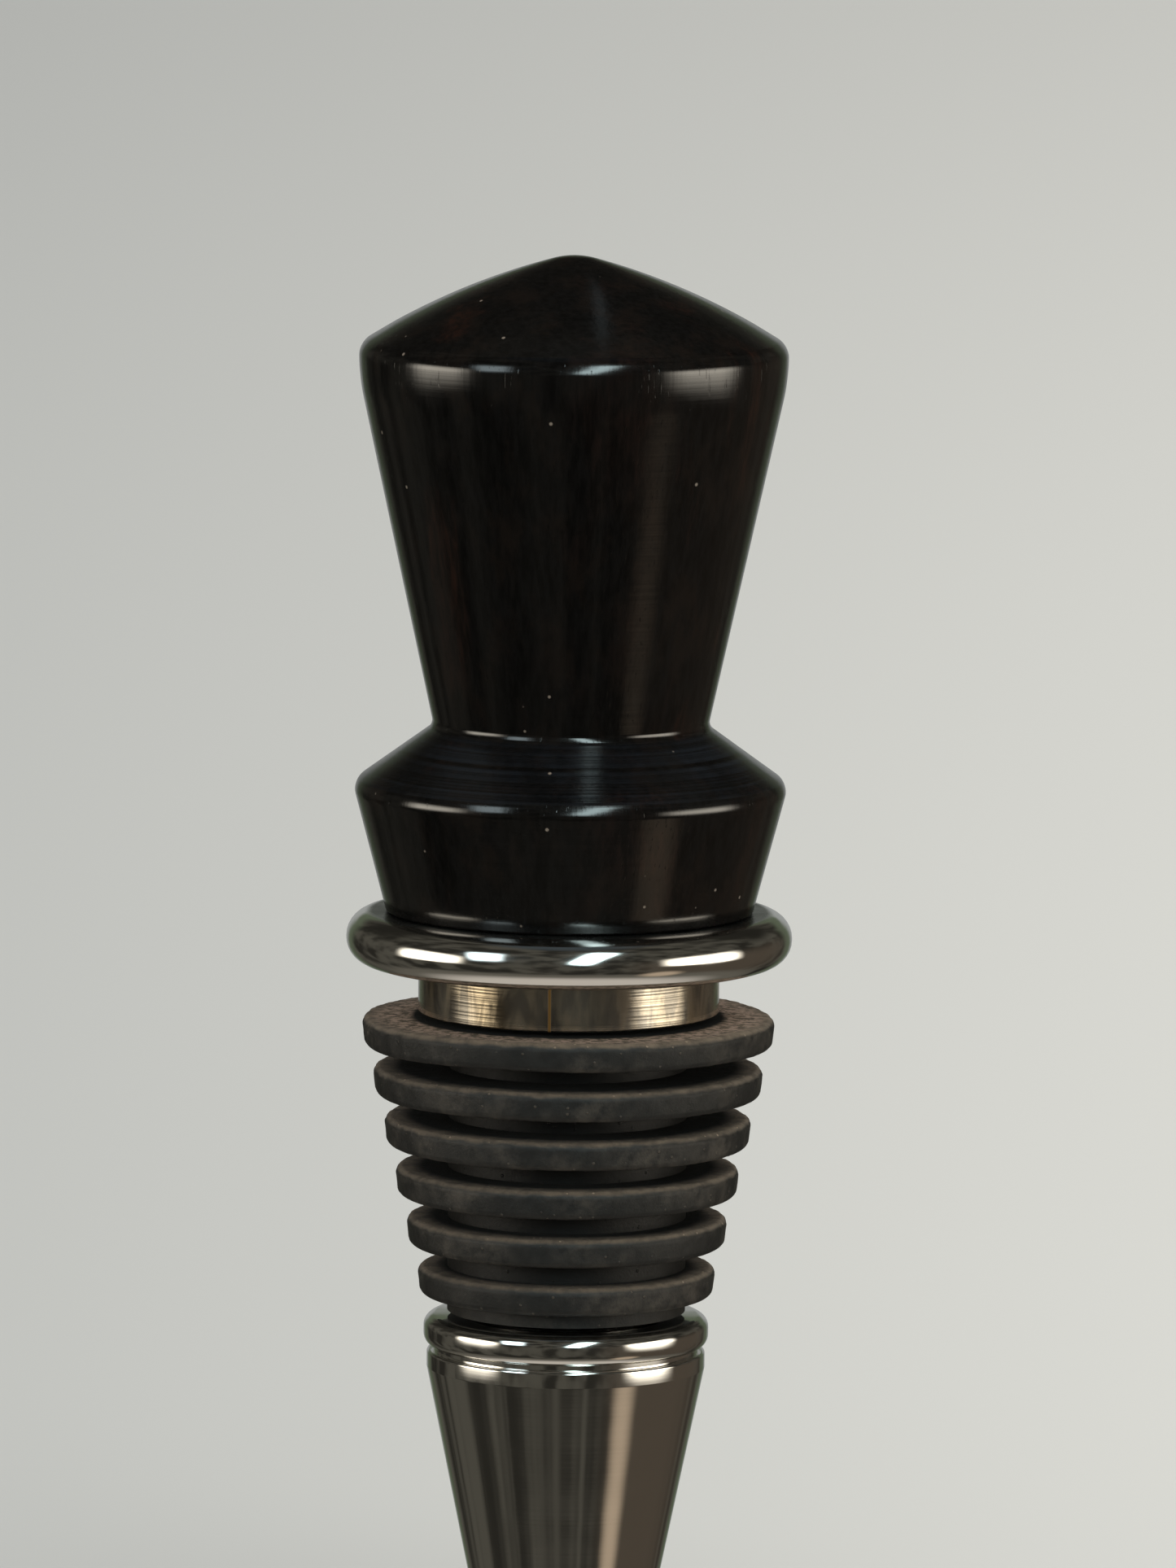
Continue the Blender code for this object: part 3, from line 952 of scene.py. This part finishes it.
def make_floor(settings):
    """The round pale floor, with light painted into its colour: a little brighter towards the right and far
    from the camera.
    """
    material, tree, shader = new_material("Pale floor")
    across, away, _ = split(tree, coordinates(tree, "Object"))
    distance = math_node(tree, "MAXIMUM", total(tree, away, settings.camera_distance), FLOOR_NEAREST)
    to_right = math_node(tree, "DIVIDE", across, distance)
    # Painted light: the floor's colour grows brighter from left to right and far from the camera
    share = ramp(tree, to_right, -FLOOR_SIDE, FLOOR_SIDE, smooth=False)
    floor_side_light = blend(tree, share, rgba(settings.floor_left), rgba(settings.floor_right))
    gain = ramp(tree, distance, *FLOOR_PAINTED_BRIGHTENING, 1.0, FLOOR_PAINTED_FAR_GAIN, smooth=False)
    set_inputs(tree, shader, {
        "Base Color": blend(tree, 1.0, floor_side_light, gain, "MULTIPLY"),
        "Roughness": 0.9,
        "Specular IOR Level": 0.1,
    })
    bm = bmesh.new()
    bmesh.ops.create_circle(bm, cap_ends=True, segments=64, radius=settings.floor_radius)
    floor = add_object("floor", mesh_of(bm, "floor", material))
    floor.visible_glossy = False
    floor.visible_shadow = False


def reflected_room(tree, looking, settings):
    """The dim room that polished surfaces see, with a pale wall behind the piece."""
    right, back, up = split(tree, looking)
    patches = ramp(tree, noise_value(tree, looking, ROOM_WAVES, 2.0, 0.5), 0.35, 0.62)
    room = blend(tree, patches, rgba(settings.room, 0.5), rgba(settings.room, 1.7))
    glow_away = add_node(tree, "VectorMath", {0: looking, 1: LOW_GLOW_DIRECTION},
                         operation="DISTANCE").outputs["Value"]
    layers = (
        (product(tree, ramp(tree, right, 0.35, 0.9), ramp(tree, up, 0.35, -0.1)), rgba(WARM_SIDE)),
        (ramp(tree, up, -0.52, -0.68), rgba(LOWER_WALL)),
        (ramp(tree, glow_away, *LOW_GLOW_REACH), rgba(LOW_GLOW)),
        (ramp(tree, up, -0.70, -0.93), rgba(GROUND)),
        (ramp(tree, up, 0.90, 0.995), rgba(OVERHEAD)),
        (product(tree, ramp(tree, up, 0.25, 0.5), ramp(tree, back, 0.3, 0.7)), rgba(settings.room, 0.4)),
        (product(tree, ramp(tree, back, 0.80, 0.93), ramp(tree, up, 0.34, 0.24)), rgba(GREEN_BACK)),
        (product(tree, ramp(tree, back, 0.92, 0.985), ramp(tree, up, 0.19, 0.13)), rgba(PALE_BACK)),
    )
    for share, tint in layers:
        room = blend(tree, share, room, tint)
    return room


def make_world(settings):
    """Even light for matt surfaces, a pale backdrop for the camera, and a dim room for polished ones."""
    world = bpy.data.worlds.new("Studio")
    bpy.context.scene.world = world
    world.use_nodes = True
    world.cycles.sampling_method = "NONE"
    tree = world.node_tree
    tree.nodes.clear()
    rays = add_node(tree, "LightPath", {}).outputs
    room = reflected_room(tree, coordinates(tree, "Generated"), settings)
    seen = blend(tree, rays["Is Camera Ray"], room, rgba(BACKDROP))
    even = (settings.sky_light, settings.sky_light, settings.sky_light * EVEN_LIGHT_BLUE, 1)
    light = blend(tree, rays["Is Diffuse Ray"], seen, even)
    background = add_node(tree, "Background", {"Color": light, "Strength": 1.0}).outputs[0]
    add_node(tree, "OutputWorld", {"Surface": background})


def make_camera(settings):
    """The camera at the photograph's angle, with its roll."""
    data = bpy.data.cameras.new("camera")
    data.sensor_width = SENSOR_WIDTH
    data.lens = LENS
    data.clip_end = CAMERA_REACH
    camera = add_object("camera", data)
    aim = Vector((settings.aim_across, 0, settings.aim_height))
    back = Vector((0, -math.cos(settings.camera_elevation), math.sin(settings.camera_elevation)))
    facing = (-back).to_track_quat("-Z", "Y").to_matrix()
    roll = Matrix.Rotation(settings.camera_roll, 3, "Z")
    place = Matrix.Translation(aim + back * settings.camera_distance)
    camera.matrix_world = place @ (facing @ roll).to_4x4()
    bpy.context.scene.camera = camera


class STOPPER_OT_set_stage(bpy.types.Operator):
    """Set the pale floor, the soft light and the camera"""
    bl_idname = "stopper.set_stage"
    bl_label = "Set the stage"

    def execute(self, context):
        settings = context.scene.stopper_stage
        make_floor(settings)
        make_world(settings)
        make_camera(settings)
        soft_lamp("overhead_lamp", place=(0.5, -0.3, 1.6), target=(0, 0, 0.03), side=1.6, power=12.0,
                  tint=(1.0, 0.995, 0.97))
        for card in CARDS:
            light_card(*card)
        context.scene.view_settings.view_transform = "Standard"
        return {"FINISHED"}


OPERATORS = (STOPPER_OT_turn_head, STOPPER_OT_turn_base, STOPPER_OT_mould_seal,
             STOPPER_OT_cut_stud, STOPPER_OT_set_stage)

SETTINGS = {
    "stopper_head": HeadSizes,
    "stopper_base": BaseSizes,
    "stopper_seal": SealSizes,
    "stopper_stud": StudSizes,
    "stopper_finishes": Finishes,
    "stopper_stage": StageSettings,
}


class STOPPER_PT_tools(bpy.types.Panel):
    """Steps, sizes and colours of the stopper"""
    bl_idname = "STOPPER_PT_tools"
    bl_label = "Stopper"
    bl_space_type = "VIEW_3D"
    bl_region_type = "UI"
    bl_category = "Stopper"

    def draw(self, context):
        for operator in OPERATORS:
            self.layout.operator(operator.bl_idname)
        for name in SETTINGS:
            box = self.layout.box()
            group = getattr(context.scene, name)
            for prop in group.bl_rna.properties:
                if not prop.is_readonly and prop.identifier != "name":
                    box.prop(group, prop.identifier)


def register():
    """Register the classes and give the scene its settings."""
    for group in SETTINGS.values():
        bpy.utils.register_class(group)
    for operator in OPERATORS:
        bpy.utils.register_class(operator)
    bpy.utils.register_class(STOPPER_PT_tools)
    for name, group in SETTINGS.items():
        setattr(bpy.types.Scene, name, PointerProperty(type=group))


def unregister():
    """Take the settings and the classes away again."""
    for name in SETTINGS:
        delattr(bpy.types.Scene, name)
    bpy.utils.unregister_class(STOPPER_PT_tools)
    for operator in reversed(OPERATORS):
        bpy.utils.unregister_class(operator)
    for group in reversed(SETTINGS.values()):
        bpy.utils.unregister_class(group)


def main():
    """Register the add-on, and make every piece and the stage."""
    register()
    bpy.ops.stopper.turn_head()
    bpy.ops.stopper.turn_base()
    bpy.ops.stopper.mould_seal()
    bpy.ops.stopper.cut_stud()
    bpy.ops.stopper.set_stage()


if __name__ == "__main__":
    main()
